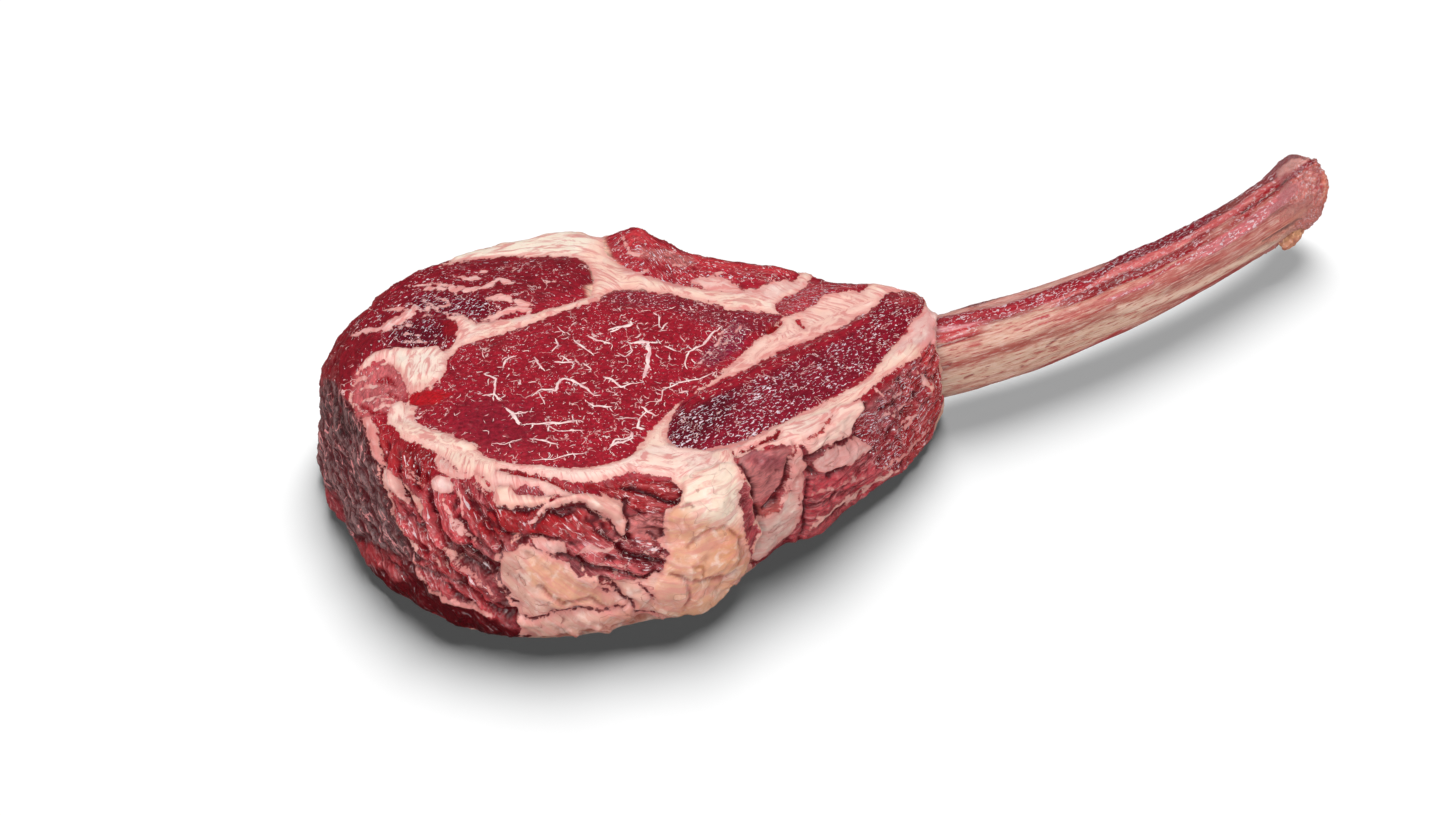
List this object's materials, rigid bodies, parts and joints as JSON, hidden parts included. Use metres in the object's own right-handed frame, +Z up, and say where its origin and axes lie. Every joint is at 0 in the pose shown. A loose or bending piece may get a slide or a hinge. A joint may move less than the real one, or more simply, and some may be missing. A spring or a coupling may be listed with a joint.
{
  "type": "raw tomahawk steak",
  "caption": "Thick raw bone-in rib steak with its long curved rib bone left on, lying flat on its cut face.",
  "frame": {"origin": "on the floor, under the middle of the bounding box of the whole steak and bone", "axes": "+X from the meat towards the bone's tip, +Y the side the bone curves to and the backbone side of the meat, +Z up from the lower cut face to the upper one"},
  "size_m": [0.3708, 0.2136, 0.0581],
  "materials": {
    "raw_lean": "wet, deep crimson raw beef",
    "beef_fat": "waxy cream and peach raw fat",
    "rib_bone": "scraped rib bone with a thin skin of dried meat"
  },
  "bodies": {
    "root": {"fat_body": "beef_fat", "eye_muscle": "raw_lean", "cap_muscle": "raw_lean", "chine_muscle": "raw_lean", "wedge_muscle": "raw_lean", "rib_muscle": "raw_lean", "end_muscle": "raw_lean", "side_muscle": "raw_lean", "curl_muscle": "raw_lean", "shoulder_muscle": "raw_lean", "rib_bone": "rib_bone", "fat_tag": "beef_fat"}
  },
  "joints": []
}
